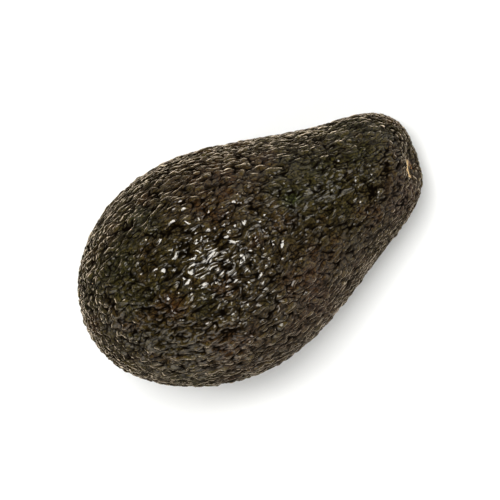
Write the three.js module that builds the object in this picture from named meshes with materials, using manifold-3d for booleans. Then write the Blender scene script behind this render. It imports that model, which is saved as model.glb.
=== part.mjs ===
// A ripe avocado with a pebbled skin, lying on its side, with the dry stub of its stalk still in its seat.
// Millimetres, +Z up. The stalk end points along +X and dips, because the weight lies in the belly, and the
// origin is the middle of the small flat spot that the fruit rests on.

import * as THREE from "three";
import { ConvexHull } from "three/addons/math/ConvexHull.js";
import { mergeVertices } from "three/addons/utils/BufferGeometryUtils.js";
import Module from "manifold-3d";

// The body. Its radius is that of a ball drawn out to LENGTH, times a polynomial in the station, which runs
// from -1 at the blossom end to 1 at the stalk end.
const LENGTH = 108;
const MID_RADIUS = 31.9;
const TAPER = [1, -0.412, -0.22, 0.304, 0.405, 0.063];
const SIDE_BOW = 3.5; // how far both ends lie to the +Y side of the middle
const UPWARD_BOW = 1; // how far both ends rise above the middle
const STALK_END_LEAN = 0.09; // how the two round ends are cut aslant, to the side
const BLOSSOM_END_LEAN = 0.12;

// How it lies.
const STALK_END_DIP = THREE.MathUtils.degToRad(14);
const REST_STATION_X = -6.5; // where along the tilted body the middle of the flat spot is
const REST_HEIGHT = 30; // from the table to the middle of the body's axis

// The pebbled skin, with pebbles about twice as wide as on the real fruit.
const PEBBLES = 560;
const PEBBLE_HEIGHT = 1;
const PEBBLE_UNEVENNESS = 0.45; // the lowest pebbles lack this share of the height
const PEBBLE_TOP = 0.6; // width of a pebble's flat top, as a share of its foot
const PEBBLE_SHOULDER = 0.82; // height at the edge of that top, as a share of its crown
const PEBBLE_SCATTER = 0.32; // how far a pebble strays from its place on the spiral, in pebble widths
const PEBBLE_STRETCH = 1.45; // length over width of a pebble amidships, where they are drawn out the most
const VALLEY_DEPTH = 0.45; // the valleys lie this far inside the smooth body

// The seat that the stalk's stub sits in, the scar at the blossom end, and the lobes of the body: three round
// the seat, one low on the flank, and a furrow that runs out of the seat. Angles are in degrees round the
// axis, from +Y towards +Z.
const SEAT = { station: 0.972, angle: 137, depth: 2.6, spread: 4.6 };
const LOBES = [
  { station: 0.86, angle: 0, height: 0.3, spread: 12 },
  { station: 0.985, angle: 20, height: 0.8, spread: 6 },
  { station: 0.97, angle: 195, height: 1.1, spread: 8 },
  { station: 0.35, angle: 190, height: 0.5, spread: 28 },
  { station: 0.99, angle: 110, height: -1.2, spread: 3.4 },
];
const BLOSSOM_SCAR = { depth: 0.9, spread: 2.6 };

// The stub.
const STUB_RADIUS = 3;
const STUB_HEIGHT = 3;
const STUB_SUNK = 1.8; // how much of its height is in its hole
const STUB_KNOBS = 5;
const STUB_KNOB_SHARE = 0.05;
const STUB_DISH_SHIFT = 0.8; // how far downhill the dished face lies from the middle
const GAP = 0.3;

const GOLDEN_ANGLE = Math.PI * (3 - Math.sqrt(5));
const SKIN_OLIVE = 0x33301f;
const STUB_TAN = 0xa8834f;

const wasm = await Module();
wasm.setup();

/** A seeded source of numbers from 0 to 1, so that every run gives the same fruit. */
function seededRandom(seed) {
  let state = seed;
  return () => {
    state = (state + 0x6d2b79f5) | 0;
    let mixed = Math.imul(state ^ (state >>> 15), 1 | state);
    mixed = (mixed + Math.imul(mixed ^ (mixed >>> 7), 61 | mixed)) ^ mixed;
    return ((mixed ^ (mixed >>> 14)) >>> 0) / 2 ** 32;
  };
}

/** The body's radius at a station. */
function bodyRadius(station) {
  const taper = TAPER.reduceRight((sum, term) => sum * station + term, 0);
  return MID_RADIUS * taper * Math.sqrt(Math.max(0, 1 - station * station));
}

/** A point of the smooth body, before any pebble or dent, in the part's frame. */
function bodyPoint(station, angle) {
  const radius = bodyRadius(station);
  const lean = station > 0 ? STALK_END_LEAN : BLOSSOM_END_LEAN;
  const across = radius * Math.cos(angle);
  const point = new THREE.Vector3(
    (LENGTH / 2) * station + across * lean * station * station,
    SIDE_BOW * station * station + across,
    UPWARD_BOW * station * station + radius * Math.sin(angle),
  );
  point.applyAxisAngle(new THREE.Vector3(0, 1, 0), STALK_END_DIP);
  return point.add(new THREE.Vector3(-REST_STATION_X, 0, REST_HEIGHT));
}

/** The outward direction of the smooth body at a point of it. */
function bodyNormal(station, angle) {
  const step = 1e-4;
  const along = bodyPoint(station + step, angle).sub(bodyPoint(station - step, angle));
  const around = bodyPoint(station, angle + step).sub(bodyPoint(station, angle - step));
  return around.cross(along).normalize();
}

const seatAngle = THREE.MathUtils.degToRad(SEAT.angle);
const seatMiddle = bodyPoint(SEAT.station, seatAngle);
const seatAxis = bodyNormal(SEAT.station, seatAngle);
const blossomEnd = bodyPoint(-1, 0);
const lobes = LOBES.map(({ station, angle, height, spread }) => ({
  middle: bodyPoint(station, THREE.MathUtils.degToRad(angle)),
  height,
  spread,
}));

/** A smooth bell, 1 in the middle and near 0 at twice the spread. */
function bell(distance, spread) {
  return Math.exp(-((distance / spread) ** 2));
}

/** How far the skin stands out from the smooth body at a point: up on the lobes, down in the seat and scar. */
function swell(point) {
  const seat = SEAT.depth * bell(point.distanceTo(seatMiddle), SEAT.spread);
  const scar = BLOSSOM_SCAR.depth * bell(point.distanceTo(blossomEnd), BLOSSOM_SCAR.spread);
  const raised = lobes.map(({ middle, height, spread }) => height * bell(point.distanceTo(middle), spread));
  return raised.reduce((sum, height) => sum + height, -seat - scar);
}

/** Moves a point of the skin by its swell, and up to the table where it would lie below. */
function settled(point, normal) {
  const moved = point.clone().addScaledVector(normal, swell(point));
  moved.z = Math.max(0, moved.z);
  return moved;
}

/** Length over width of the pebbles at a station. At the two ends they are round. */
function pebbleStretch(station) {
  return 1 + (PEBBLE_STRETCH - 1) * (1 - station * station);
}

/** A walk along the body in small steps: at each station, the skin's area so far, and the latitude on a ball,
 *  as its Mercator height, to which a map carries it that makes every pebble round. */
function walkAlongBody(steps = 4000) {
  const marks = [];
  let area = 0;
  let mercator = 0;
  for (let i = 0; i < steps; i++) {
    const from = Math.sin(Math.PI * (i / steps - 0.5));
    const to = Math.sin(Math.PI * ((i + 1) / steps - 0.5));
    const station = (from + to) / 2;
    const radius = bodyRadius(station);
    const arc = Math.hypot((LENGTH / 2) * (to - from), bodyRadius(to) - bodyRadius(from));
    area += 2 * Math.PI * radius * arc;
    mercator += arc / radius / pebbleStretch(station);
    marks.push({ station, area, mercator });
  }
  return marks;
}

/** Pebble places: a golden spiral that gives each pebble the same area of skin, with a little scatter. */
function pebblePlaces(random) {
  const marks = walkAlongBody();
  const wholeArea = marks.at(-1).area;
  const middle = marks[marks.length / 2].mercator;
  const pitch = Math.sqrt(wholeArea / PEBBLES);
  const scatter = () => (random() - 0.5) * 2 * PEBBLE_SCATTER;
  let next = 0;
  return Array.from({ length: PEBBLES }, (_, k) => {
    const areaBefore = ((k + 0.5) / PEBBLES) * wholeArea;
    while (marks[next].area < areaBefore) next++;
    const base = marks[next];
    const radius = bodyRadius(base.station);
    const slope = Math.hypot(LENGTH / 2, (bodyRadius(base.station + 1e-4) - radius) / 1e-4);
    const free = 1 - Math.abs(base.station);
    const shift = THREE.MathUtils.clamp((scatter() * pitch) / slope, -free / 2, free / 2);
    const angle = k * GOLDEN_ANGLE + (scatter() * pitch) / Math.max(radius, pitch);
    const climb = (shift * slope) / radius / pebbleStretch(base.station);
    const latitude = base.mercator - middle + climb;
    const ballRadius = 1 / Math.cosh(latitude);
    return {
      station: base.station + shift,
      angle,
      onBall: new THREE.Vector3(
        Math.tanh(latitude),
        ballRadius * Math.cos(angle),
        ballRadius * Math.sin(angle),
      ),
    };
  });
}

/** The triangles that join neighbouring pebbles: the hull of their places on the ball, as index triples. */
function neighbourTriangles(places) {
  const points = places.map((place) => place.onBall);
  const indexOf = new Map(points.map((point, index) => [point, index]));
  return new ConvexHull().setFromPoints(points).faces.map((face) => {
    const corners = [face.edge, face.edge.next, face.edge.prev];
    return corners.map((edge) => indexOf.get(edge.head().point));
  });
}

/** The pebbled skin as one closed shell. Each pebble is a fan: a crown, a ring round its flat top, and the
 *  valley corners that it shares with its neighbours. */
function pebbledSkin() {
  const random = seededRandom(7);
  const places = pebblePlaces(random);
  const pebbles = places.map(({ station, angle }) => {
    const middle = bodyPoint(station, angle);
    const seatFade = 1 - bell(middle.distanceTo(seatMiddle), SEAT.spread);
    return {
      middle,
      normal: bodyNormal(station, angle),
      height: PEBBLE_HEIGHT * (1 - PEBBLE_UNEVENNESS * random()) * seatFade,
    };
  });
  const vertices = [];
  const crownOf = ({ middle, normal, height }) =>
    settled(middle.clone().addScaledVector(normal, height - VALLEY_DEPTH), normal);
  const shoulderOf = ({ middle, normal, height }, corner) =>
    settled(
      middle
        .clone()
        .lerp(corner, PEBBLE_TOP)
        .addScaledVector(normal, height * PEBBLE_SHOULDER - VALLEY_DEPTH),
      normal,
    );
  const valleyOf = (corner, normal) =>
    settled(corner.clone().addScaledVector(normal, -VALLEY_DEPTH), normal);
  const cornersOf = new Map();
  const fans = neighbourTriangles(places).map((triangle) => {
    const members = triangle.map((index) => pebbles[index]);
    const corner = new THREE.Vector3();
    const normal = new THREE.Vector3();
    for (const member of members) {
      corner.addScaledVector(member.middle, 1 / 3);
      normal.add(member.normal);
    }
    return { triangle, corner, normal: normal.normalize() };
  });
  // A half edge from pebble a to pebble b has one triangle on its left, and the half edge back has the other.
  for (const fan of fans)
    fan.triangle.forEach((a, i) => cornersOf.set(`${a} ${fan.triangle[(i + 1) % 3]}`, fan));
  for (const fan of fans)
    fan.triangle.forEach((a, i) => {
      const b = fan.triangle[(i + 1) % 3];
      const beyond = cornersOf.get(`${b} ${a}`);
      const pebble = pebbles[a];
      const crown = crownOf(pebble);
      const [near, far] = [beyond, fan].map((side) => ({
        shoulder: shoulderOf(pebble, side.corner),
        valley: valleyOf(side.corner, side.normal),
      }));
      vertices.push(crown, near.shoulder, far.shoulder);
      vertices.push(near.shoulder, near.valley, far.valley);
      vertices.push(near.shoulder, far.valley, far.shoulder);
    });
  return new THREE.BufferGeometry().setFromPoints(vertices);
}

/** A closed geometry as a manifold-3d solid. */
function solidOf(geometry) {
  const bare = geometry.clone();
  bare.deleteAttribute("normal");
  bare.deleteAttribute("uv");
  const merged = mergeVertices(bare, 1e-4);
  return new wasm.Manifold(
    new wasm.Mesh({
      numProp: 3,
      vertProperties: merged.attributes.position.array,
      triVerts: new Uint32Array(merged.index.array),
    }),
  );
}

/** A manifold-3d solid as a geometry with flat faces. */
function geometryOf(solid) {
  const { vertProperties, triVerts } = solid.getMesh();
  const geometry = new THREE.BufferGeometry();
  geometry.setAttribute("position", new THREE.BufferAttribute(vertProperties, 3));
  geometry.setIndex(new THREE.BufferAttribute(triVerts, 1));
  const faceted = geometry.toNonIndexed();
  faceted.computeVertexNormals();
  return faceted;
}

/** The stub's place: its foot in the middle of its hole, and its own Y axis along the seat's axis. */
function stubPlace() {
  const place = new THREE.Object3D();
  const foot = swell(seatMiddle) - VALLEY_DEPTH - STUB_SUNK;
  place.position.copy(seatMiddle).addScaledVector(seatAxis, foot);
  place.quaternion.setFromUnitVectors(new THREE.Vector3(0, 1, 0), seatAxis);
  place.updateMatrixWorld();
  return place;
}

/** The fruit: the pebbled skin with the stub's hole cut into its seat. */
function makeFruit() {
  const holeRadius = STUB_RADIUS * (1 + STUB_KNOB_SHARE) + GAP;
  const holeLength = 4 * STUB_HEIGHT;
  const hole = new THREE.CylinderGeometry(holeRadius, holeRadius, holeLength, 40);
  hole.translate(0, holeLength / 2 - GAP, 0);
  hole.applyMatrix4(stubPlace().matrixWorld);
  const fruit = solidOf(pebbledSkin()).subtract(solidOf(hole));
  const mesh = new THREE.Mesh(
    geometryOf(fruit),
    new THREE.MeshStandardMaterial({ color: SKIN_OLIVE, roughness: 0.35, metalness: 0 }),
  );
  mesh.name = "fruit";
  return mesh;
}

/** The woody stub: a knobbly collar, thickest on its upper side, round a dished face with a low core. */
function makeStub() {
  const r = STUB_RADIUS;
  const h = STUB_HEIGHT;
  const profile = [
    [0, 0],
    [0.86 * r, 0],
    [0.92 * r, 0.35 * h],
    [r, 0.7 * h],
    [0.95 * r, 0.92 * h],
    [0.82 * r, h],
    [0.6 * r, 0.97 * h],
    [0.45 * r, 0.76 * h],
    [0.27 * r, 0.7 * h],
    [0.16 * r, 0.76 * h],
    [0, 0.78 * h],
  ].map(([radius, height]) => new THREE.Vector2(radius, height));
  const place = stubPlace();
  const downhill = new THREE.Vector3(0, 0, -1).applyQuaternion(place.quaternion.clone().invert());
  downhill.setY(0).normalize();
  const geometry = new THREE.LatheGeometry(profile, 40);
  const position = geometry.attributes.position;
  const point = new THREE.Vector3();
  for (let i = 0; i < position.count; i++) {
    point.fromBufferAttribute(position, i);
    const rise = point.y / h;
    const angle = Math.atan2(point.z, point.x);
    const knob = 1 + STUB_KNOB_SHARE * Math.sin(STUB_KNOBS * angle) * rise;
    const shift = STUB_DISH_SHIFT * (1 - Math.hypot(point.x, point.z) / r) * rise;
    point.set(point.x * knob, point.y, point.z * knob).addScaledVector(downhill, shift);
    position.setXYZ(i, point.x, point.y, point.z);
  }
  const mesh = new THREE.Mesh(
    geometry,
    new THREE.MeshStandardMaterial({ color: STUB_TAN, roughness: 0.8, metalness: 0 }),
  );
  mesh.name = "stem_stub";
  mesh.position.copy(place.position);
  mesh.quaternion.copy(place.quaternion);
  return mesh;
}

const avocado = new THREE.Group();
avocado.add(makeFruit(), makeStub());

export default avocado;
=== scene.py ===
"""A ripe avocado with a dark pebbled skin, lying on a pale table under a soft overhead light.

Everything is in metres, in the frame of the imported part: +X towards the stalk end, +Z up, and the origin
in the middle of the small flat spot that the fruit rests on. The fruit's body is one formula, worked out by
a Geometry Nodes tree from a ball of square faces. The pebbles of its skin are a pattern that the same
builder writes into the tree, which raises them, and into the skin's material, which colours them.
"""

import logging
import math
from dataclasses import dataclass, field
from enum import Enum
from typing import Any

import bmesh
import bpy
import numpy as np
from mathutils import Matrix, Vector


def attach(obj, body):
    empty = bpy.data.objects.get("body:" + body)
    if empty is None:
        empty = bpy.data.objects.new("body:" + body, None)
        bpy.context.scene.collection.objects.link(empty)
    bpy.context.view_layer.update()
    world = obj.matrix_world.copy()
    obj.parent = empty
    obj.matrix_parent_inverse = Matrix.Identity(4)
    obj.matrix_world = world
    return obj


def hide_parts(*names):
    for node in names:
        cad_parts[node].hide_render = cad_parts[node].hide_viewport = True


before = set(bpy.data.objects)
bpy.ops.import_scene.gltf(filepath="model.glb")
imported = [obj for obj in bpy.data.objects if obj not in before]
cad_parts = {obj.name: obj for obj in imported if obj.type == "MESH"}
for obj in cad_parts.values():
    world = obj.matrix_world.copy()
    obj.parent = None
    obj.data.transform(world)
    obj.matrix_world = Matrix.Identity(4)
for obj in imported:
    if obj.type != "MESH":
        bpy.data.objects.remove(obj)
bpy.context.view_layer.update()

MM = 0.001
LOG = logging.getLogger("avocado")

MIX_FACTOR, MIX_FIRST_COLOUR, MIX_SECOND_COLOUR = 0, 6, 7
NOISE_MEAN = 0.5
BILLOW_GAIN = 4.0

Colour = tuple[float, float, float]
Number = Any


class Wire:
    """An output of a node in a tree of any kind, with Python's operators adding Math nodes to that tree."""

    def __init__(self, socket: bpy.types.NodeSocket) -> None:
        """Wraps a socket.

        Args:
            socket: The output that carries the value.
        """
        self.socket = socket
        self.tree = socket.id_data

    def math(self, operation: str, *others: Number) -> "Wire":
        """Adds a Math node with this value first.

        Args:
            operation: The Math node's operation.
            others: The values of its further sockets, as wires or numbers.

        Returns:
            The node's result.
        """
        inputs = dict(enumerate((self, *others)))
        return add_node(self.tree, "ShaderNodeMath", {"operation": operation}, inputs)

    def __add__(self, other: Number) -> "Wire":
        """The sum."""
        return self.math("ADD", other)

    def __radd__(self, other: Number) -> "Wire":
        """The sum, with the number first."""
        return self.math("ADD", other)

    def __sub__(self, other: Number) -> "Wire":
        """The difference."""
        return self.math("SUBTRACT", other)

    def __rsub__(self, other: Number) -> "Wire":
        """A number less this value."""
        return self.math("MULTIPLY_ADD", -1.0, other)

    def __mul__(self, other: Number) -> "Wire":
        """The product."""
        return self.math("MULTIPLY", other)

    def __rmul__(self, other: Number) -> "Wire":
        """The product, with the number first."""
        return self.math("MULTIPLY", other)

    def __truediv__(self, other: Number) -> "Wire":
        """The quotient."""
        return self.math("DIVIDE", other)

    def __neg__(self) -> "Wire":
        """The value with its sign turned."""
        return self.math("MULTIPLY", -1.0)

    def ramp(self, low: Number, high: Number) -> "Wire":
        """A smooth step from 0 to 1.

        Args:
            low: The value at which the step starts.
            high: The value at which it ends.

        Returns:
            The step's height.
        """
        settings = {"interpolation_type": "SMOOTHSTEP"}
        inputs = {"Value": self, "From Min": low, "From Max": high}
        return add_node(self.tree, "ShaderNodeMapRange", settings, inputs, output="Result")

    def part(self, axis: int) -> "Wire":
        """One coordinate of this vector."""
        return add_node(self.tree, "ShaderNodeSeparateXYZ", {}, {0: self}, output=axis)

    def vector(self, operation: str, *others: Number, output: str = "Vector") -> "Wire":
        """Adds a Vector Math node with this vector first.

        Args:
            operation: The Vector Math node's operation.
            others: The values of its further sockets, as wires, vectors or, for a scale, a number.
            output: The socket that is returned.

        Returns:
            The node's result.
        """
        inputs: dict[Any, Number] = dict(enumerate((self, *others)))
        if operation == "SCALE":
            inputs = {0: self, "Scale": others[0]}
        return add_node(self.tree, "ShaderNodeVectorMath", {"operation": operation}, inputs, output)


def add_node(
    tree: bpy.types.NodeTree,
    kind: str,
    settings: dict[str, Any],
    inputs: dict[Any, Number],
    output: Any = 0,
) -> Wire:
    """Adds a node, applies its settings, then sets or links its sockets.

    Args:
        tree: The tree that gets the node.
        kind: The node's type.
        settings: Attributes that are set first, by name.
        inputs: Values or wires by the socket's name or number.
        output: Name or number, among the outputs in use, of the one that is returned.

    Returns:
        That output.
    """
    node = tree.nodes.new(kind)
    for name, value in settings.items():
        setattr(node, name, value)
    for key, value in inputs.items():
        if isinstance(value, Wire):
            tree.links.new(value.socket, node.inputs[key])
        else:
            node.inputs[key].default_value = value
    live = [socket for socket in node.outputs if socket.enabled]
    if isinstance(output, str):
        return Wire(next(socket for socket in live if socket.name == output))
    return Wire(live[output])


def combine(tree: bpy.types.NodeTree, x: Number, y: Number, z: Number) -> Wire:
    """A vector from three numbers or wires."""
    return add_node(tree, "ShaderNodeCombineXYZ", {}, {0: x, 1: y, 2: z})


def blend(tree: bpy.types.NodeTree, factor: Number, low: Any, high: Any) -> Wire:
    """Mixes two colours.

    Args:
        tree: The tree that gets the node.
        factor: 0 for the first colour and 1 for the second.
        low: The first colour, as a triple or a wire.
        high: The second colour.

    Returns:
        The mixed colour.
    """
    first, second = (end if isinstance(end, Wire) else (*end, 1.0) for end in (low, high))
    inputs = {MIX_FACTOR: factor, MIX_FIRST_COLOUR: first, MIX_SECOND_COLOUR: second}
    return add_node(tree, "ShaderNodeMix", {"data_type": "RGBA"}, inputs)


def mixed(share: Wire, first: bpy.types.NodeSocket, second: bpy.types.NodeSocket) -> Wire:
    """Mixes two shaders.

    Args:
        share: 0 for the first shader and 1 for the second.
        first: The first shader's output.
        second: The second shader's output.

    Returns:
        The mixed shader.
    """
    return add_node(share.tree, "ShaderNodeMixShader", {}, {0: share, 1: Wire(first), 2: Wire(second)})


def noise(point: Wire, size: float, detail: float = 2.0) -> Wire:
    """Soft noise of about the given size.

    Args:
        point: The place, in metres.
        size: The width of its blotches, in metres.
        detail: The number of finer layers.

    Returns:
        The noise, mostly from 0.25 to 0.75.
    """
    inputs = {"Vector": point, "Scale": 1 / size, "Detail": detail}
    return add_node(point.tree, "ShaderNodeTexNoise", {}, inputs)


@dataclass(frozen=True)
class Mottle:
    """Soft noise that makes a value uneven, from its least value up to that and its gain."""

    size: float
    span: tuple[float, float]
    gain: float
    least: float = 0.0
    detail: float = 2.0

    def at(self, point: Wire) -> Wire:
        """The uneven value at a point."""
        return noise(point, self.size, self.detail).ramp(*self.span) * self.gain + self.least


class VoronoiPart(Enum):
    """What is read of a Voronoi pattern, by the name of its output."""

    DISTANCE = "Distance"
    OWN_COLOUR = "Color"


def voronoi(point: Wire, size: float, part: VoronoiPart) -> Wire:
    """A pattern of cells of about the given size.

    Args:
        point: The place, in metres.
        size: The width of a cell, in metres.
        part: What is read.

    Returns:
        The distance to the nearest cell's middle, in cell widths, or that cell's own random colour.
    """
    inputs = {"Vector": point, "Scale": 1 / size}
    return add_node(point.tree, "ShaderNodeTexVoronoi", {"feature": "F1"}, inputs, part.value)


@dataclass(frozen=True)
class Lobe:
    """A broad rise or hollow of the body, as a bell round a point of its surface."""

    station: float
    angle: float
    height: float
    spread: float


@dataclass
class Body:
    """The formula of the fruit's smooth body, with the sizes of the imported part."""

    length: float = 108 * MM
    mid_radius: float = 31.9 * MM
    taper: tuple[float, ...] = (1, -0.412, -0.22, 0.304, 0.405, 0.063)
    side_bow: float = 3.5 * MM
    upward_bow: float = 1 * MM
    stalk_end_lean: float = 0.09
    blossom_end_lean: float = 0.12
    stalk_end_dip: float = math.radians(14)
    rest_station: float = -6.5 * MM
    rest_height: float = 30 * MM
    seat: Lobe = Lobe(0.972, math.radians(137), -2.6 * MM, 4.6 * MM)
    scar: Lobe = Lobe(-1, 0, -0.9 * MM, 2.6 * MM)
    lobes: tuple[Lobe, ...] = (
        Lobe(0.86, math.radians(0), 0.3 * MM, 12 * MM),
        Lobe(0.985, math.radians(20), 0.8 * MM, 6 * MM),
        Lobe(0.97, math.radians(195), 1.1 * MM, 8 * MM),
        Lobe(0.35, math.radians(190), 0.5 * MM, 28 * MM),
        Lobe(0.99, math.radians(110), -1.2 * MM, 3.4 * MM),
    )

    @property
    def centre(self) -> Vector:
        """The middle of the body's axis."""
        return Vector((-self.rest_station, 0, self.rest_height))

    def surface(self, direction: Any) -> Any:
        """The point of the smooth body, before it is tilted, for a direction on a ball.

        Args:
            direction: Its three coordinates, as numbers or as wires.

        Returns:
            The point's three coordinates, of the same kind.
        """
        station, side, rise = direction
        radius = self.taper[-1]
        for term in self.taper[-2::-1]:
            radius = radius * station + term
        squared = station * station
        across = radius * side * self.mid_radius
        half_turn = (self.stalk_end_lean - self.blossom_end_lean) / 2
        lean = (self.stalk_end_lean + self.blossom_end_lean) / 2
        sign = station.math("SIGN") if isinstance(station, Wire) else math.copysign(1, station)
        return (
            station * (self.length / 2) + across * squared * (lean + half_turn * sign),
            across + squared * self.side_bow,
            radius * rise * self.mid_radius + squared * self.upward_bow,
        )

    def tilt(self) -> Matrix:
        """The turn that dips the stalk end."""
        return Matrix.Rotation(self.stalk_end_dip, 3, "Y")

    def point(self, station: float, angle: float) -> Vector:
        """A point of the smooth body in the part's frame.

        Args:
            station: From -1 at the blossom end to 1 at the stalk end.
            angle: Round the axis, from +Y towards +Z.

        Returns:
            The point.
        """
        ring = math.sqrt(max(0.0, 1 - station * station))
        direction = (station, ring * math.cos(angle), ring * math.sin(angle))
        return self.centre + self.tilt() @ Vector(self.surface(direction))

    def normal(self, station: float, angle: float) -> Vector:
        """The outward direction at a point of the smooth body.

        Args:
            station: From -1 at the blossom end to 1 at the stalk end.
            angle: Round the axis, from +Y towards +Z.

        Returns:
            The direction, of length 1.
        """
        step = 1e-3
        along = self.point(station + step, angle) - self.point(station - step, angle)
        around = self.point(station, angle + step) - self.point(station, angle - step)
        return around.cross(along).normalized()

    def swell(self, place: Vector) -> float:
        """How far the skin stands out from the smooth body at a place, by its lobes and hollows."""
        total = 0.0
        for lobe in (*self.lobes, self.seat, self.scar):
            distance = (place - self.point(lobe.station, lobe.angle)).length
            total += lobe.height * math.exp(-((distance / lobe.spread) ** 2))
        return total


@dataclass(frozen=True)
class PebblePattern:
    """The pebbles of the skin: uneven lumps, drawn out along the fruit, some of them run together."""

    size: float = 2.0 * MM
    stretch: float = 1.6
    wander: float = 2.2 * MM
    wander_size: float = 3.2 * MM
    reach: float = 0.8
    dome_share: float = 0.35
    least_dome: float = 0.5
    lump_size: float = 1.9 * MM
    neck_lump_size: float = 1.3 * MM
    crease_size: float = 1.4 * MM
    crease_squeeze: float = 0.45
    neck: tuple[float, float] = (22 * MM, 46 * MM)
    neck_calm: float = 0.38

    def calm(self, position: Wire) -> Wire:
        """The share of its full height that the relief keeps, less on the neck than on the belly."""
        return 1 - position.part(0).ramp(*self.neck) * self.neck_calm

    def place(self, position: Wire, body: Body) -> Wire:
        """The place in the pattern: untilted, squeezed along the fruit, and pushed about a little.

        Args:
            position: The point of the skin, in metres.
            body: The body that carries the skin.

        Returns:
            The point at which the pattern is read.
        """
        tree = position.tree
        settings = {"rotation_type": "EULER_XYZ"}
        moved = position.vector("SUBTRACT", tuple(body.centre))
        turn = {"Vector": moved, "Rotation": (0, -body.stalk_end_dip, 0)}
        level = add_node(tree, "ShaderNodeVectorRotate", settings, turn)
        squeezed = level.vector("MULTIPLY", (1 / self.stretch, 1, 1))
        inputs = {"Vector": squeezed, "Scale": 1 / self.wander_size, "Detail": 1.0}
        push = add_node(tree, "ShaderNodeTexNoise", {}, inputs, output="Color")
        centred = push.vector("SUBTRACT", (NOISE_MEAN,) * 3)
        return squeezed.vector("ADD", centred.vector("SCALE", self.wander))

    def height(self, place: Wire, position: Wire) -> Wire:
        """The height of the pebbles, about 0 in the valleys and 1 on the highest crowns.

        Args:
            place: The place in the pattern.
            position: The point of the skin, in metres.

        Returns:
            The height.
        """
        away = voronoi(place, self.size, VoronoiPart.DISTANCE) / self.reach
        own = voronoi(place, self.size, VoronoiPart.OWN_COLOUR).part(0)
        rise = own * (1 - self.least_dome) + self.least_dome
        dome = (1 - away * away).math("MAXIMUM", 0.0) * rise
        on_neck = position.part(0).ramp(*self.neck)
        lumps = self.billow(place, self.lump_size) * (1 - on_neck)
        lumps = lumps + self.billow(place, self.neck_lump_size) * on_neck
        return dome * self.dome_share + lumps * (1 - self.dome_share)

    def billow(self, place: Wire, size: float) -> Wire:
        """Round lumps with thin winding valleys between them, 0 in the valleys and about 1 on top.

        Args:
            place: The place in the pattern.
            size: The width of a lump.

        Returns:
            The height of the lumps.
        """
        return (noise(place, size, detail=0.0) - NOISE_MEAN).math("ABSOLUTE") * BILLOW_GAIN

    def creases(self, place: Wire) -> Wire:
        """Fine folds all over the pebbles, drawn out along the fruit, 0 in the creases and about 1 on top.

        Args:
            place: The place in the pattern.

        Returns:
            The height of the folds.
        """
        return self.billow(place.vector("MULTIPLY", (self.crease_squeeze, 1, 1)), self.crease_size)


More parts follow.
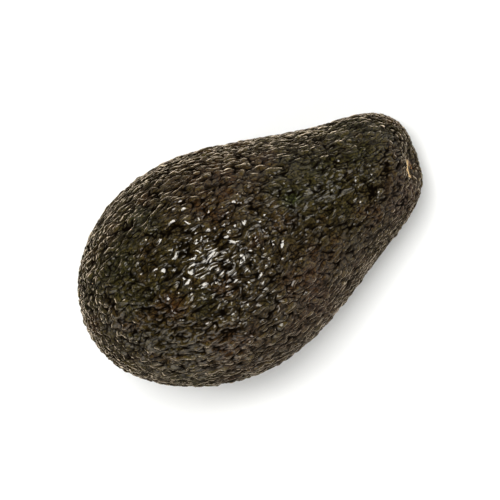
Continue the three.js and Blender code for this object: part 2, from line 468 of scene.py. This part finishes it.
@dataclass
class Fruit:
    """The fruit: its fine skin, raised by a Geometry Nodes tree, and the skin's finish."""

    body: Body = field(default_factory=Body)
    pebbles: PebblePattern = field(default_factory=PebblePattern)
    pebble_height: float = 0.85 * MM
    pebble_base: float = 0.33 * MM
    wrinkle_height: float = 0.03 * MM
    wrinkle_size: float = 1.0 * MM
    face_rows: int = 129
    seat_fade: float = 4.5 * MM
    puckers: int = 8
    pucker_height: float = 0.35 * MM
    pucker_reach: float = 8.5 * MM
    pucker_inside: float = 0.45
    pucker_wander: float = 6.0
    pucker_wander_size: float = 4 * MM
    flat_spot: float = 0.02 * MM

    def inputs(self) -> dict[str, float]:
        """The named sizes that the tree takes from its modifier."""
        return {
            "Pebble Height": self.pebble_height,
            "Pebble Base": self.pebble_base,
            "Wrinkle Height": self.wrinkle_height,
            "Table Height": self.flat_spot,
        }

    def tree(self, skin: bpy.types.Material) -> bpy.types.NodeTree:
        """Builds the tree that makes the fruit.

        Args:
            skin: The finish that the tree gives its faces.

        Returns:
            The tree, whose inputs are the named sizes and whose output is the pebbled fruit.
        """
        tree = bpy.data.node_groups.new("pebbled fruit", "GeometryNodeTree")
        tree.interface.new_socket("Geometry", in_out="OUTPUT", socket_type="NodeSocketGeometry")
        for name in self.inputs():
            tree.interface.new_socket(name, in_out="INPUT", socket_type="NodeSocketFloat")
        sizes = tree.nodes.new("NodeGroupInput")
        size = {name: Wire(sizes.outputs[name]) for name in self.inputs()}
        smooth = self.smooth_body(tree)
        swollen = self.raised(smooth, self.swell(tree))
        place = self.pebbles.place(self.position(tree), self.body)
        wrinkle = noise(place, self.wrinkle_size, detail=1.0) - NOISE_MEAN
        seat = self.bell(tree, self.body.seat, self.seat_fade)
        height = self.pebbles.height(place, self.position(tree))
        relief = height * size["Pebble Height"] + wrinkle * size["Wrinkle Height"]
        kept = (1 - seat) * self.pebbles.calm(self.position(tree))
        pebbled = self.raised(swollen, relief * kept + self.pucker(tree) - size["Pebble Base"] * kept)
        rested = self.rested(pebbled, size["Table Height"])
        shaded = add_node(tree, "GeometryNodeSetShadeSmooth", {}, {"Geometry": rested})
        finished = add_node(tree, "GeometryNodeSetMaterial", {}, {"Geometry": shaded, "Material": skin})
        real = add_node(tree, "GeometryNodeRealizeInstances", {}, {"Geometry": finished})
        out = tree.nodes.new("NodeGroupOutput")
        tree.links.new(real.socket, out.inputs["Geometry"])
        return tree

    def position(self, tree: bpy.types.NodeTree) -> Wire:
        """The place of each point in the tree."""
        return add_node(tree, "GeometryNodeInputPosition", {}, {})

    def moved(self, geometry: Wire, position: Wire) -> Wire:
        """The geometry with each point at a new place."""
        inputs = {"Geometry": geometry, "Position": position}
        return add_node(geometry.tree, "GeometryNodeSetPosition", {}, inputs)

    def raised(self, geometry: Wire, height: Wire) -> Wire:
        """The geometry with each point raised along its normal by a height."""
        normal = add_node(geometry.tree, "GeometryNodeInputNormal", {}, {})
        inputs = {"Geometry": geometry, "Offset": normal.vector("SCALE", height)}
        return add_node(geometry.tree, "GeometryNodeSetPosition", {}, inputs)

    def smooth_body(self, tree: bpy.types.NodeTree) -> Wire:
        """A cube of square faces, blown up to a ball of even squares, then to the body's formula.

        Args:
            tree: The tree that gets the nodes.

        Returns:
            The smooth body as a mesh.
        """
        rows = self.face_rows
        sides = {"Size": (2, 2, 2), "Vertices X": rows, "Vertices Y": rows, "Vertices Z": rows}
        cube = add_node(tree, "GeometryNodeMeshCube", {}, sides, output="Mesh")
        corner = self.position(tree).vector("SCALE", math.pi / 4)
        ball = self.moved(cube, corner.vector("TANGENT").vector("NORMALIZE"))
        direction = self.position(tree)
        point = self.body.surface([direction.part(axis) for axis in range(3)])
        turn = {"Vector": combine(tree, *point), "Rotation": (0, self.body.stalk_end_dip, 0)}
        settings = {"rotation_type": "EULER_XYZ"}
        dipped = add_node(tree, "ShaderNodeVectorRotate", settings, turn)
        return self.moved(ball, dipped.vector("ADD", tuple(self.body.centre)))

    def bell(self, tree: bpy.types.NodeTree, lobe: Lobe, spread: float) -> Wire:
        """A bell round the middle of a lobe, 1 in the middle and near 0 at twice the spread."""
        middle = tuple(self.body.point(lobe.station, lobe.angle))
        distance = self.position(tree).vector("DISTANCE", middle, output="Value") / spread
        return (-(distance * distance)).math("EXPONENT")

    def swell(self, tree: bpy.types.NodeTree) -> Wire:
        """The height of the lobes and hollows over the smooth body."""
        body = self.body
        total = self.bell(tree, body.seat, body.seat.spread) * body.seat.height
        for lobe in (body.scar, *body.lobes):
            total = total + self.bell(tree, lobe, lobe.spread) * lobe.height
        return total

    def pucker(self, tree: bpy.types.NodeTree) -> Wire:
        """The height of the folds that gather the skin round the seat."""
        seat = self.body.seat
        axis = self.body.normal(seat.station, seat.angle)
        first = axis.orthogonal().normalized()
        middle = tuple(self.body.point(seat.station, seat.angle))
        offset = self.position(tree).vector("SUBTRACT", middle)
        across = [
            offset.vector("DOT_PRODUCT", tuple(side), output="Value")
            for side in (first, axis.cross(first))
        ]
        turn = across[0].math("ARCTAN2", across[1])
        wander = noise(self.position(tree), self.pucker_wander_size, detail=1.0) * self.pucker_wander
        folds = (turn * float(self.puckers) + wander).math("COSINE")
        inside = self.bell(tree, seat, self.pucker_inside * self.pucker_reach)
        return folds * (self.bell(tree, seat, self.pucker_reach) - inside) * self.pucker_height

    def rested(self, geometry: Wire, table: Wire) -> Wire:
        """The geometry with nothing lower than the table."""
        tree = geometry.tree
        position = self.position(tree)
        lifted = position.part(2).math("MAXIMUM", table)
        return self.moved(geometry, combine(tree, position.part(0), position.part(1), lifted))

    def build(self, skin: bpy.types.Material) -> bpy.types.Object:
        """Makes the fruit as a plain mesh.

        Args:
            skin: Its finish.

        Returns:
            The fruit, with no modifier left on it.
        """
        holder = new_object("fruit body", bpy.data.meshes.new("fruit body"))
        modifier = holder.modifiers.new("pebbled fruit", "NODES")
        modifier.node_group = self.tree(skin)
        sizes = self.inputs()
        for item in modifier.node_group.interface.items_tree:
            if item.in_out == "INPUT":
                modifier[item.identifier] = sizes[item.name]
        return realised(holder, "pebbled_fruit")


@dataclass
class Stub:
    """The dry stub of the stalk in its seat: a pale knobbly collar, thickest above, round a dished face."""

    body: Body
    radius: float = 3 * MM
    height: float = 3 * MM
    sunk: float = 1.8 * MM
    valley: float = 0.45 * MM
    knobs: int = 5
    knob_share: float = 0.05
    dish_shift: float = 0.8 * MM
    segments: int = 96
    rows_per_span: int = 6
    profile: tuple[tuple[float, float], ...] = (
        (0, 0),
        (0.86, 0),
        (0.92, 0.35),
        (1, 0.7),
        (0.95, 0.92),
        (0.82, 1),
        (0.6, 0.97),
        (0.45, 0.76),
        (0.27, 0.7),
        (0.16, 0.76),
        (0, 0.78),
    )

    @property
    def axis(self) -> Vector:
        """The direction that the seat faces."""
        return self.body.normal(self.body.seat.station, self.body.seat.angle)

    @property
    def foot(self) -> Vector:
        """The middle of the stub's foot, deep in the seat."""
        middle = self.body.point(self.body.seat.station, self.body.seat.angle)
        return middle + self.axis * (self.body.swell(middle) - self.valley - self.sunk)

    @property
    def downhill(self) -> Vector:
        """The direction across the stub that points most downwards."""
        down = Vector((0, 0, -1))
        return (down - self.axis * down.dot(self.axis)).normalized()

    def outline(self) -> np.ndarray:
        """The side view as shares of the radius and the height, with points between those of the profile.

        Returns:
            An array of rows of radius share and height share, from the foot's middle to the face's.
        """
        points = np.array(self.profile)
        steps = np.linspace(0, len(points) - 1, (len(points) - 1) * self.rows_per_span + 1)
        return np.stack([np.interp(steps, range(len(points)), points[:, k]) for k in (0, 1)], axis=1)

    def place(self, share: float, rise: float, angle: float) -> Vector:
        """A point of the stub in the part's frame.

        Args:
            share: The distance from its middle, as a share of its radius.
            rise: The height over its foot, as a share of its height.
            angle: Round its axis, from its downhill side.

        Returns:
            The point.
        """
        knob = 1 + self.knob_share * math.sin(self.knobs * angle) * rise
        across = self.downhill * math.cos(angle) + self.axis.cross(self.downhill) * math.sin(angle)
        shift = self.downhill * (self.dish_shift * (1 - share) * rise)
        return self.foot + self.axis * (rise * self.height) + across * (self.radius * share * knob) + shift

    def build(self, finish: bpy.types.Material) -> bpy.types.Object:
        """Makes the stub in its seat.

        Args:
            finish: Its wood.

        Returns:
            The stub as a closed mesh.
        """
        outline = self.outline()
        angles = np.linspace(0, 2 * math.pi, self.segments, endpoint=False)
        mesh = bmesh.new()
        rings = [[mesh.verts.new(self.place(*row, angle)) for angle in angles] for row in outline[1:-1]]
        ends = [mesh.verts.new(self.place(*row, 0)) for row in outline[[0, -1]]]
        for k in range(self.segments):
            n = (k + 1) % self.segments
            mesh.faces.new((ends[0], rings[0][n], rings[0][k]))
            mesh.faces.new((ends[1], rings[-1][k], rings[-1][n]))
            for low, high in zip(rings, rings[1:]):
                mesh.faces.new((low[k], low[n], high[n], high[k]))
        for face in mesh.faces:
            face.smooth = True
        data = bpy.data.meshes.new("stalk_stub")
        mesh.to_mesh(data)
        mesh.free()
        data.materials.append(finish)
        return new_object("stalk_stub", data)


@dataclass(frozen=True)
class Patch:
    """A soft patch of colour on the skin, round a point of the body."""

    station: float
    angle: float
    spread: float
    colour: Colour
    strength: float


@dataclass(frozen=True)
class SkinFinish:
    """The dark skin: olive, with green, red-brown and purplish patches, and a waxy gloss on the pebbles;
    its valleys and creases are darkened as painted shade, and its crowns are lightened partly as painted
    light.
    """

    olive: Colour = (0.0178, 0.0124, 0.0027)
    green: Colour = (0.015, 0.018, 0.0045)
    bright_green: Colour = (0.024, 0.036, 0.008)
    red_brown: Colour = (0.036, 0.0135, 0.004)
    purple_brown: Colour = (0.036, 0.020, 0.013)
    # Near-black colour painted into the valleys between the pebbles and the creases of the folds, as
    # painted shade.
    painted_shade_colour: Colour = (0.002, 0.0013, 0.0007)
    # The paler colour of the pebbles' crowns: partly the skin's own paler tops, partly painted light on the
    # raised tops.
    crown_tone_and_light: Colour = (0.050, 0.038, 0.009)
    crown_share: float = 0.5
    crown_span: tuple[float, float] = (0.2, 0.8)
    fold_span: tuple[float, float] = (0.1, 0.9)
    speckles: Mottle = Mottle(0.55 * MM, (0.3, 0.7), 1.5, 0.25, detail=1.0)
    green_blotches: Mottle = Mottle(14 * MM, (0.5, 0.68), 0.45, detail=3.0)
    red_blotches: Mottle = Mottle(9 * MM, (0.52, 0.7), 0.5, detail=4.0)
    red_shift: tuple[float, float, float] = (0.4, 0.1, 0.2)
    patch_mottle: Mottle = Mottle(5 * MM, (0.3, 0.7), 0.8, 0.6, detail=3.0)
    gloss: float = 0.85
    gloss_roughness: float = 0.055
    glow: float = 0.085
    glow_roughness: float = 0.3
    glow_unevenness: float = 0.14
    glow_uneven_size: float = 4 * MM
    neck_dullness: float = 0.3
    bump_height: float = 0.12 * MM
    crease_height: float = 0.12 * MM
    grain_height: float = 0.2 * MM
    grain_size: float = 0.7 * MM
    liveliness: Mottle = Mottle(7 * MM, (0.3, 0.7), 1.2, 0.4)
    # How far up the pebbles and the folds the painted shade in their valleys and creases reaches, and how
    # dark it is.
    valley_top: float = 0.42
    valley_painted_shade: float = 1.2
    crease_top: float = 0.45
    crease_painted_shade: float = 0.8
    # Noise that takes the painted shade out of some valleys and leaves it in others.
    painted_shade_breakup: Mottle = Mottle(3.0 * MM, (0.26, 0.5), 0.6, 0.4)
    matt_roughness: float = 0.9
    edge_dullness: float = 0.9
    edge_span: tuple[float, float] = (0.12, 0.5)
    velvet_relief: float = 2.0
    sheen: float = 1.0
    sheen_roughness: float = 0.23
    sheen_tint: Colour = (0.9, 0.76, 0.59)

    def placed_patches(self) -> tuple[Patch, ...]:
        """The patches that have a place of their own on the fruit."""
        degrees = math.radians
        return (
            Patch(-0.67, degrees(65), 13 * MM, self.green, 0.45),
            Patch(0.5, degrees(72), 14 * MM, self.green, 0.35),
            Patch(0.32, degrees(77), 2.8 * MM, self.bright_green, 0.6),
            Patch(0.01, degrees(50), 13 * MM, self.red_brown, 0.55),
            Patch(-0.46, degrees(99), 5 * MM, self.red_brown, 0.6),
            Patch(0.2, degrees(127), 10 * MM, self.red_brown, 0.5),
            Patch(-0.32, degrees(132), 7 * MM, self.red_brown, 0.6),
            Patch(0.1, degrees(165), 26 * MM, self.purple_brown, 0.55),
            Patch(0.88, degrees(140), 11 * MM, self.purple_brown, 0.8),
            Patch(0.78, degrees(34), 6 * MM, self.green, 0.5),
        )

    def material(self, body: Body, pebbles: PebblePattern) -> bpy.types.Material:
        """Builds the skin's material.

        Args:
            body: The body that carries the skin.
            pebbles: The pattern of its pebbles.

        Returns:
            The material.
        """
        material = bpy.data.materials.new("avocado skin")
        material.use_nodes = True
        tree = material.node_tree
        waxy = tree.nodes["Principled BSDF"]
        velvet = tree.nodes.new("ShaderNodeBsdfPrincipled")
        # A dull near-black shader, mixed into the valleys and creases as painted shade.
        painted_shade_bsdf = tree.nodes.new("ShaderNodeBsdfPrincipled")
        position = add_node(tree, "ShaderNodeTexCoord", {}, {}, output="Object")
        place = pebbles.place(position, body)
        height = pebbles.height(place, position)
        fine = pebbles.creases(place)
        colour = self.colour(position, body, height, fine)
        lively = self.liveliness.at(position)
        grain = noise(place, self.grain_size, detail=1.0)
        relief = height * self.bump_height * pebbles.calm(position)
        relief = relief + (fine * self.crease_height + grain * self.grain_height) * lively
        bumps = [self.bumped(relief * share) for share in (1.0, self.velvet_relief)]
        smoothest = self.glow_roughness - self.glow_unevenness * NOISE_MEAN
        rough = noise(position, self.glow_uneven_size) * self.glow_unevenness + smoothest
        tree.links.new(rough.socket, waxy.inputs["Roughness"])
        waxy.inputs["Specular IOR Level"].default_value = self.glow
        waxy.inputs["Coat Weight"].default_value = self.gloss
        waxy.inputs["Coat Roughness"].default_value = self.gloss_roughness
        for shader, bump in zip((waxy, velvet), bumps):
            tree.links.new(colour.socket, shader.inputs["Base Color"])
            tree.links.new(bump.socket, shader.inputs["Normal"])
        for shader in (velvet, painted_shade_bsdf):
            shader.inputs["Roughness"].default_value = self.matt_roughness
            shader.inputs["Specular IOR Level"].default_value = 0.0
        velvet.inputs["Sheen Weight"].default_value = self.sheen
        velvet.inputs["Sheen Roughness"].default_value = self.sheen_roughness
        velvet.inputs["Sheen Tint"].default_value = (*self.sheen_tint, 1.0)
        # The near-black colour of the painted shade.
        painted_shade_bsdf.inputs["Base Color"].default_value = (*self.painted_shade_colour, 1.0)
        facing = add_node(tree, "ShaderNodeLayerWeight", {}, {"Blend": 0.5}, output="Facing")
        neck = position.part(0).ramp(*pebbles.neck) * self.neck_dullness
        dull = neck.math("MAXIMUM", facing.ramp(*self.edge_span) * self.edge_dullness)
        # Painted shade: the valleys between the pebbles and the creases of the fine folds get the
        # near-black shader, by the share in low.
        valley_shade = (1 - height.ramp(0.0, self.valley_top)) * self.valley_painted_shade
        folds = (1 - fine.ramp(0.0, self.crease_top)) * self.crease_painted_shade
        low = (valley_shade + folds) * self.painted_shade_breakup.at(position)
        skin = mixed(dull, waxy.outputs[0], velvet.outputs[0])
        whole = mixed(low.math("MINIMUM", 1.0), skin.socket, painted_shade_bsdf.outputs[0])
        tree.links.new(whole.socket, tree.nodes["Material Output"].inputs["Surface"])
        return material

    def bumped(self, relief: Wire) -> Wire:
        """The normal that a fine relief gives, its height in metres."""
        inputs = {"Height": relief, "Distance": 1.0, "Strength": 1.0}
        return add_node(relief.tree, "ShaderNodeBump", {}, inputs, output="Normal")

    def colour(self, position: Wire, body: Body, height: Wire, fine: Wire) -> Wire:
        """The colour of the skin, lighter on the pebbles' crowns, partly by their own paler tone and partly
        as painted light, and finely speckled.

        Args:
            position: The point of the skin, in metres.
            body: The body that carries the skin.
            height: The height of the pebbles.
            fine: The height of the fine folds.

        Returns:
            The colour.
        """
        # The raised crowns get lighter, partly as painted light.
        tops = height.ramp(*self.crown_span) * fine.ramp(*self.fold_span) * self.crown_share
        topped = blend(position.tree, tops, self.patches(position, body), self.crown_tone_and_light)
        return topped.vector("SCALE", self.speckles.at(position))

    def patches(self, position: Wire, body: Body) -> Wire:
        """The colour of the skin before its pebbles lighten it.

        Args:
            position: The point of the skin, in metres.
            body: The body that carries the skin.

        Returns:
            The colour.
        """
        tree = position.tree
        red = self.red_blotches.at(position.vector("ADD", self.red_shift))
        colour = blend(tree, self.green_blotches.at(position), self.olive, self.green)
        colour = blend(tree, red, colour, self.red_brown)
        mottle = self.patch_mottle.at(position)
        for patch in self.placed_patches():
            middle = tuple(body.point(patch.station, patch.angle))
            away = position.vector("DISTANCE", middle, output="Value") / patch.spread
            bell = (-(away * away)).math("EXPONENT")
            colour = blend(tree, bell * mottle * patch.strength, colour, patch.colour)
        return colour


@dataclass(frozen=True)
class StubFinish:
    """The stub's dry wood: a pale tan collar, brown on its downhill side as painted shade with its pale tan
    upper side as painted light, and an orange-brown face.
    """

    # tan is the collar's upper side as painted light, and brown is its downhill side as painted shade.
    tan: Colour = (0.66, 0.46, 0.22)
    orange: Colour = (0.21, 0.095, 0.020)
    brown: Colour = (0.085, 0.042, 0.014)
    dark: Colour = (0.03, 0.015, 0.007)
    roughness: float = 0.75
    wander: float = 1.4 * MM
    wander_size: float = 1.2 * MM
    face_edge: tuple[float, float] = (0.45, 0.62)
    # Where the painted shade on the collar's downhill side starts and ends, as shares of the radius.
    downhill_shade_span: tuple[float, float] = (-0.7, -0.1)
    specks: Mottle = Mottle(0.6 * MM, (0.55, 0.75), 0.6, detail=3.0)
    grain_size: float = 0.8 * MM
    grain_height: float = 0.4 * MM
    grain_strength: float = 0.8

    def material(self, stub: Stub) -> bpy.types.Material:
        """Builds the stub's material.

        Args:
            stub: The stub that wears it.

        Returns:
            The material.
        """
        material = bpy.data.materials.new("stub wood")
        material.use_nodes = True
        tree = material.node_tree
        shader = tree.nodes["Principled BSDF"]
        position = add_node(tree, "ShaderNodeTexCoord", {}, {}, output="Object")
        dish = stub.foot + stub.downhill * stub.dish_shift
        offset = position.vector("SUBTRACT", tuple(dish))
        along = offset.vector("DOT_PRODUCT", tuple(stub.axis), output="Value")
        away = offset.vector("LENGTH", output="Value")
        radial = (away * away - along * along).math("MAXIMUM", 0.0).math("SQRT")
        uneven = (noise(position, self.wander_size, detail=3.0) - NOISE_MEAN) * self.wander
        collar = (radial + uneven).ramp(*(share * stub.radius for share in self.face_edge))
        downhill = offset.vector("DOT_PRODUCT", tuple(stub.downhill), output="Value") + uneven
        # Painted light and shade: the collar is pale tan on its upper side and turns brown towards its
        # downhill side.
        downhill_shade = downhill.ramp(*(share * stub.radius for share in self.downhill_shade_span))
        rim = blend(tree, downhill_shade, self.tan, self.brown)
        colour = blend(tree, collar, self.orange, rim)
        colour = blend(tree, self.specks.at(position), colour, self.dark)
        tree.links.new(colour.socket, shader.inputs["Base Color"])
        relief = noise(position, self.grain_size, detail=4.0)
        inputs = {"Height": relief, "Distance": self.grain_height, "Strength": self.grain_strength}
        bump = add_node(tree, "ShaderNodeBump", {}, inputs, output="Normal")
        tree.links.new(bump.socket, shader.inputs["Normal"])
        shader.inputs["Roughness"].default_value = self.roughness
        return material


@dataclass(frozen=True)
class PlainFinish:
    """A plain finish of one colour."""

    name: str
    colour: Colour
    roughness: float

    def material(self) -> bpy.types.Material:
        """The finish as a material."""
        material = bpy.data.materials.new(self.name)
        material.use_nodes = True
        shader = material.node_tree.nodes["Principled BSDF"]
        shader.inputs["Base Color"].default_value = (*self.colour, 1.0)
        shader.inputs["Roughness"].default_value = self.roughness
        return material


@dataclass(frozen=True)
class Lamp:
    """A rectangular light that faces the fruit."""

    name: str
    aim: tuple[float, float, float]
    size: tuple[float, float]
    power: float
    colour: Colour = (1.0, 0.96, 0.88)
    distance: float = 1.2

    def place(self, target: Vector) -> None:
        """Adds the light to the scene.

        Args:
            target: The point that it faces.
        """
        data = bpy.data.lights.new(self.name, "AREA")
        data.shape = "RECTANGLE"
        data.size, data.size_y = self.size
        data.energy = self.power
        data.color = self.colour
        lamp = new_object(self.name, data)
        aim = Vector(self.aim).normalized()
        lamp.location = target + aim * self.distance
        lamp.rotation_euler = aim.to_track_quat("Z", "Y").to_euler()


@dataclass
class Studio:
    """The table, the lights and the camera."""

    body: Body
    table_half: float = 1.6
    table: PlainFinish = PlainFinish("pale table", (0.86, 0.9, 0.97), 0.7)
    sky: Colour = (1.0, 0.93, 0.8)
    horizon_strength: float = 1.05
    zenith_strength: float = 0.04
    fading_height: float = 0.55
    lamps: tuple[Lamp, ...] = (
        Lamp("softbox", (0.24, 0.19, 0.952), (0.49, 0.42), 14.5),
        Lamp("left lamp", (-0.196, 0.375, 0.903), (0.24, 0.24), 1.1),
        Lamp("right lamp", (0.30, -0.57, 0.765), (0.34, 0.34), 3.0),
        Lamp("front lamp", (-0.5, -0.8, 0.25), (1.0, 0.8), 6.0),
        Lamp("neck lamp", (0.78, 0.2, 0.58), (0.38, 0.38), 2.2),
        Lamp("end lamp", (-0.85, -0.1, 0.5), (0.6, 0.6), 2.5),
    )
    camera_azimuth: float = math.radians(90)
    camera_elevation: float = math.radians(71)
    camera_roll: float = math.radians(118.65)
    camera_distance: float = 0.7
    framed_width: float = 145.8 * MM
    framed_offset: tuple[float, float] = (-1.178 * MM, -1.10 * MM)

    def build(self) -> None:
        """Makes the whole surroundings."""
        self.lay_table()
        self.light()
        self.place_camera()

    def lay_table(self) -> None:
        """A plain pale floor under the fruit."""
        half = self.table_half
        corners = [(-half, -half, 0), (half, -half, 0), (half, half, 0), (-half, half, 0)]
        data = bpy.data.meshes.new("table")
        data.from_pydata(corners, [], [(0, 1, 2, 3)])
        data.materials.append(self.table.material())
        new_object("table", data)

    def light(self) -> None:
        """Pale surroundings, brightest near the horizon, and the lamps."""
        scene = bpy.context.scene
        world = bpy.data.worlds.new("pale room")
        world.use_nodes = True
        tree = world.node_tree
        background = tree.nodes["Background"]
        background.inputs["Color"].default_value = (*self.sky, 1.0)
        rise = add_node(tree, "ShaderNodeTexCoord", {}, {}, output="Generated").part(2)
        fading = self.horizon_strength - self.zenith_strength
        strength = self.horizon_strength - rise.ramp(0.0, self.fading_height) * fading
        tree.links.new(strength.socket, background.inputs["Strength"])
        scene.world = world
        for lamp in self.lamps:
            lamp.place(self.body.centre)

    def place_camera(self) -> None:
        """The camera, nearly overhead, turned so that the stalk end points up to the right."""
        azimuth, elevation, roll = self.camera_azimuth, self.camera_elevation, self.camera_roll
        flat = math.cos(elevation)
        back = Vector((math.sin(azimuth) * flat, -math.cos(azimuth) * flat, math.sin(elevation)))
        level = Vector((math.cos(azimuth), math.sin(azimuth), 0))
        upright = back.cross(level)
        right = level * math.cos(roll) - upright * math.sin(roll)
        up = level * math.sin(roll) + upright * math.cos(roll)
        aim = self.body.centre + right * self.framed_offset[0] + up * self.framed_offset[1]
        data = bpy.data.cameras.new("camera")
        data.lens = data.sensor_width * self.camera_distance / self.framed_width
        data.clip_start = 0.01
        camera = new_object("camera", data)
        turn = Matrix((right, up, back)).transposed().to_4x4()
        camera.matrix_world = Matrix.Translation(aim + back * self.camera_distance) @ turn
        bpy.context.scene.camera = camera


def new_object(name: str, data: Any) -> bpy.types.Object:
    """Adds an object to the scene, at the origin.

    Args:
        name: Its name.
        data: Its mesh, light or camera.

    Returns:
        The object.
    """
    made = bpy.data.objects.new(name, data)
    bpy.context.scene.collection.objects.link(made)
    return made


def realised(holder: bpy.types.Object, name: str) -> bpy.types.Object:
    """Turns what an object's modifiers make into a plain mesh, and removes the object.

    Args:
        holder: The object with the modifiers.
        name: The name of the plain piece.

    Returns:
        The plain piece.
    """
    graph = bpy.context.evaluated_depsgraph_get()
    data = bpy.data.meshes.new_from_object(holder.evaluated_get(graph))
    data.name = name
    bpy.data.objects.remove(holder)
    return new_object(name, data)


def report(piece: bpy.types.Object) -> None:
    """Logs a piece's name and its number of triangles."""
    piece.data.calc_loop_triangles()
    LOG.info("%s: %d triangles", piece.name, len(piece.data.loop_triangles))


def main() -> None:
    """Builds the avocado and its surroundings."""
    logging.basicConfig(level=logging.INFO, format="%(name)s: %(message)s")
    fruit = Fruit()
    skin = fruit.build(SkinFinish().material(fruit.body, fruit.pebbles))
    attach(skin, "root")
    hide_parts("fruit")
    report(skin)
    stub = Stub(fruit.body)
    button = stub.build(StubFinish().material(stub))
    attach(button, "root")
    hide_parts("stem_stub")
    report(button)
    Studio(fruit.body).build()
    bpy.context.scene.view_settings.view_transform = "Standard"


if __name__ == "__main__":
    main()
